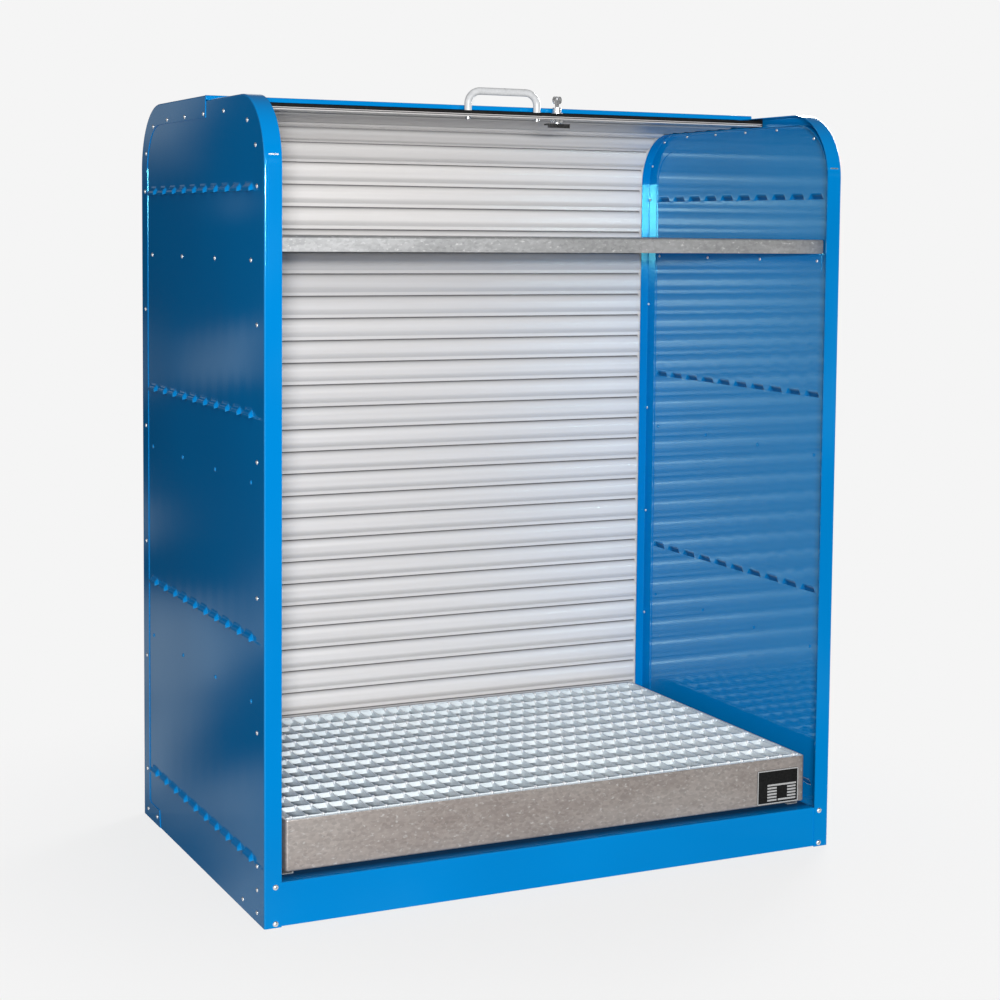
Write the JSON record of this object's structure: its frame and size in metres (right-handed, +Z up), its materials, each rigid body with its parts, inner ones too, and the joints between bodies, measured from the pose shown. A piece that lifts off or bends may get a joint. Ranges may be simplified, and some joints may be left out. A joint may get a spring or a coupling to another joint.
{
  "type": "hazardous materials cabinet",
  "caption": "Blue sheet-steel hazardous materials cabinet with louvred sides, a roller shutter that runs over the top, a galvanised shelf and a grated spill tray.",
  "frame": {"origin": "middle of the cabinet's footprint, on the floor", "axes": "+X to the right seen from the front, +Y to the back, +Z up"},
  "size_m": [1.316, 0.847, 1.6467],
  "materials": {
    "blue_paint": "gloss powder coat",
    "zinc": "bright zinc plate",
    "galvanised": "hot-dip galvanised with spangle",
    "aluminium": "satin coated aluminium",
    "light_grey_coat": "satin coat",
    "rubber": "matt",
    "black_plastic": "matt",
    "plug_brass": "machined",
    "dark_steel": "dark zinc"
  },
  "bodies": {
    "cabinet": {"side_panel_left": "blue_paint", "side_panel_right": "blue_paint", "front_post_left": "blue_paint", "front_post_right": "blue_paint", "rear_post_left": "blue_paint", "rear_post_right": "blue_paint", "top_edge_left": "blue_paint", "top_edge_right": "blue_paint", "front_track_left": "blue_paint", "front_track_right": "blue_paint", "top_track_left": "blue_paint", "top_track_right": "blue_paint", "rear_track_left": "blue_paint", "rear_track_right": "blue_paint", "base_side_rail_left": "blue_paint", "base_side_rail_right": "blue_paint", "shelf_rail_left": "blue_paint", "shelf_rail_right": "blue_paint", "rear_cover": "blue_paint", "base_front_rail": "blue_paint", "base_rear_rail": "blue_paint", "panel_rivets_left": "zinc", "panel_rivets_right": "zinc", "cover_rivets_left": "zinc", "cover_rivets_right": "zinc", "shelf_rail_rivets_left": "zinc", "shelf_rail_rivets_right": "zinc", "spare_hole_plugs": "blue_paint", "base_bolts": "zinc", "back_rivets": "zinc"},
    "shutter_front": {"top_slats": "aluminium", "end_bar": "aluminium", "bar_seal": "rubber", "bar_glides": "black_plastic", "handle": "light_grey_coat", "handle_screws": "zinc", "lock_barrel": "zinc", "lock_nut": "zinc"},
    "rear_curtain": {"rear_slats": "aluminium"},
    "lock_core": {"lock_plug": "plug_brass", "lock_key": "zinc", "lock_cam": "dark_steel", "cam_screw": "zinc"},
    "tray": {"tray_floor": "galvanised", "tray_long_walls": "galvanised", "tray_end_walls": "galvanised", "tray_skids": "galvanised", "grating_supports": "galvanised", "type_plate": "black_plastic"},
    "grating": {"floor_grating": "galvanised"},
    "loose_shelf": {"shelf": "galvanised"},
    "bend_slat_1_link": {"bend_slat_1": "aluminium"},
    "bend_slat_2_link": {"bend_slat_2": "aluminium"},
    "bend_slat_3_link": {"bend_slat_3": "aluminium"},
    "bend_slat_4_link": {"bend_slat_4": "aluminium"},
    "bend_slat_5_link": {"bend_slat_5": "aluminium"},
    "bend_slat_6_link": {"bend_slat_6": "aluminium"}
  },
  "joints": [
    {"name": "shutter_pull", "type": "slide", "parent": "cabinet", "child": "shutter_front", "axis": [0, -1, 0], "range_m": [0, 0.104]},
    {"name": "rear_rise", "type": "slide", "parent": "cabinet", "child": "rear_curtain", "axis": [0, 0, 1], "range_m": [0, 0.104]},
    {"name": "bend_turn_1", "type": "hinge", "parent": "cabinet", "child": "bend_slat_1_link", "pos_m": [0, 0.23789, 1.21189], "axis": [1, 0, 0], "range_deg": [0, 15.72]},
    {"name": "bend_turn_2", "type": "hinge", "parent": "cabinet", "child": "bend_slat_2_link", "pos_m": [0, 0.26922, 1.43614], "axis": [1, 0, 0], "range_deg": [0, 38.65]},
    {"name": "bend_turn_3", "type": "hinge", "parent": "cabinet", "child": "bend_slat_3_link", "pos_m": [0, 0.27757, 1.45847], "axis": [1, 0, 0], "range_deg": [0, 45.56]},
    {"name": "bend_turn_4", "type": "hinge", "parent": "cabinet", "child": "bend_slat_4_link", "pos_m": [0, 0.27224, 1.45851], "axis": [1, 0, 0], "range_deg": [0, 44.42]},
    {"name": "bend_turn_5", "type": "hinge", "parent": "cabinet", "child": "bend_slat_5_link", "pos_m": [0, 0.21057, 1.43667], "axis": [1, 0, 0], "range_deg": [0, 30.02]},
    {"name": "bend_turn_6", "type": "hinge", "parent": "cabinet", "child": "bend_slat_6_link", "pos_m": [0, -0.13918, 1.40385], "axis": [1, 0, 0], "range_deg": [0, 10.85]},
    {"name": "lock_turn", "type": "hinge", "parent": "shutter_front", "child": "lock_core", "pos_m": [0.131, -0.091, 1.59], "axis": [0, 0, 1], "range_deg": [0, 90]},
    {"name": "tray_pull", "type": "slide", "parent": "cabinet", "child": "tray", "axis": [0, -1, 0], "range_m": [0, 0.4]},
    {"name": "grating_lift", "type": "slide", "parent": "tray", "child": "grating", "axis": [0, 0, 1], "range_m": [0, 0.3]},
    {"name": "shelf_lift", "type": "slide", "parent": "cabinet", "child": "loose_shelf", "axis": [0, 0, 1], "range_m": [0, 0.15]}
  ],
  "couplings": [
    {"joint": "rear_rise", "follows": "shutter_pull", "ratio": 1},
    {"joint": "bend_turn_1", "follows": "shutter_pull", "rad_per_m": 2.6371},
    {"joint": "bend_turn_2", "follows": "shutter_pull", "rad_per_m": 6.4839},
    {"joint": "bend_turn_3", "follows": "shutter_pull", "rad_per_m": 7.6439},
    {"joint": "bend_turn_4", "follows": "shutter_pull", "rad_per_m": 7.4529},
    {"joint": "bend_turn_5", "follows": "shutter_pull", "rad_per_m": 5.036},
    {"joint": "bend_turn_6", "follows": "shutter_pull", "rad_per_m": 1.8195}
  ]
}
